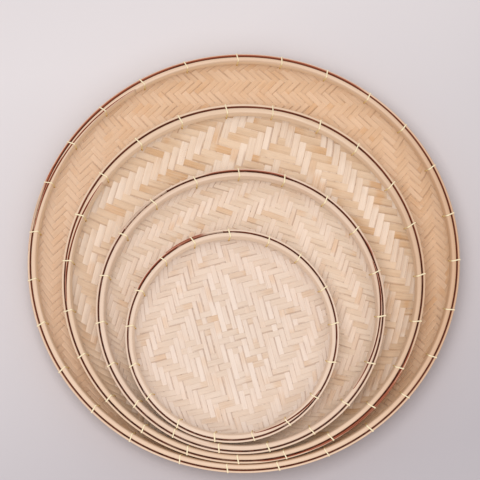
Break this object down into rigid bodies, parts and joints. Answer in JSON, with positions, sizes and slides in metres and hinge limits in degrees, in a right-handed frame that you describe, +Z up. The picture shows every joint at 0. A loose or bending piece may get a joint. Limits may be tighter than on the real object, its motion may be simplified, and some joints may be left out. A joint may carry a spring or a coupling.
{
  "type": "nested woven bamboo trays",
  "caption": "Round shallow woven bamboo trays nested one in another, each a twill mat held between two lashed rim hoops; the smaller trays lift out.",
  "frame": {"origin": "under the middle of the largest tray, on the surface it stands on", "axes": "+Z up, out of the open side of the trays; -Y towards the side where the rims lie close together"},
  "size_m": [0.3053, 0.3055, 0.027],
  "materials": {
    "woven_bamboo": "raw split bamboo, matt with a faint sheen along the fibres",
    "hoop_bamboo": "planed bamboo strip, satin",
    "split_cane": "split cane, satin, golden"
  },
  "bodies": {
    "tray_12in": {"woven_mat_12in": "woven_bamboo", "inner_hoop_12in": "hoop_bamboo", "outer_hoop_12in": "hoop_bamboo", "hoop_ties_12in": "split_cane"},
    "tray_10in": {"woven_mat_10in": "woven_bamboo", "inner_hoop_10in": "hoop_bamboo", "outer_hoop_10in": "hoop_bamboo", "hoop_ties_10in": "split_cane"},
    "tray_8in": {"woven_mat_8in": "woven_bamboo", "inner_hoop_8in": "hoop_bamboo", "outer_hoop_8in": "hoop_bamboo", "hoop_ties_8in": "split_cane"},
    "tray_6in": {"woven_mat_6in": "woven_bamboo", "inner_hoop_6in": "hoop_bamboo", "outer_hoop_6in": "hoop_bamboo", "hoop_ties_6in": "split_cane"}
  },
  "joints": [
    {"name": "lift_out_10in", "type": "slide", "parent": "tray_12in", "child": "tray_10in", "axis": [0, 0, 1], "range_m": [0, 0.1]},
    {"name": "lift_out_8in", "type": "slide", "parent": "tray_10in", "child": "tray_8in", "axis": [0, 0, 1], "range_m": [0, 0.1]},
    {"name": "lift_out_6in", "type": "slide", "parent": "tray_8in", "child": "tray_6in", "axis": [0, 0, 1], "range_m": [0, 0.1]}
  ]
}
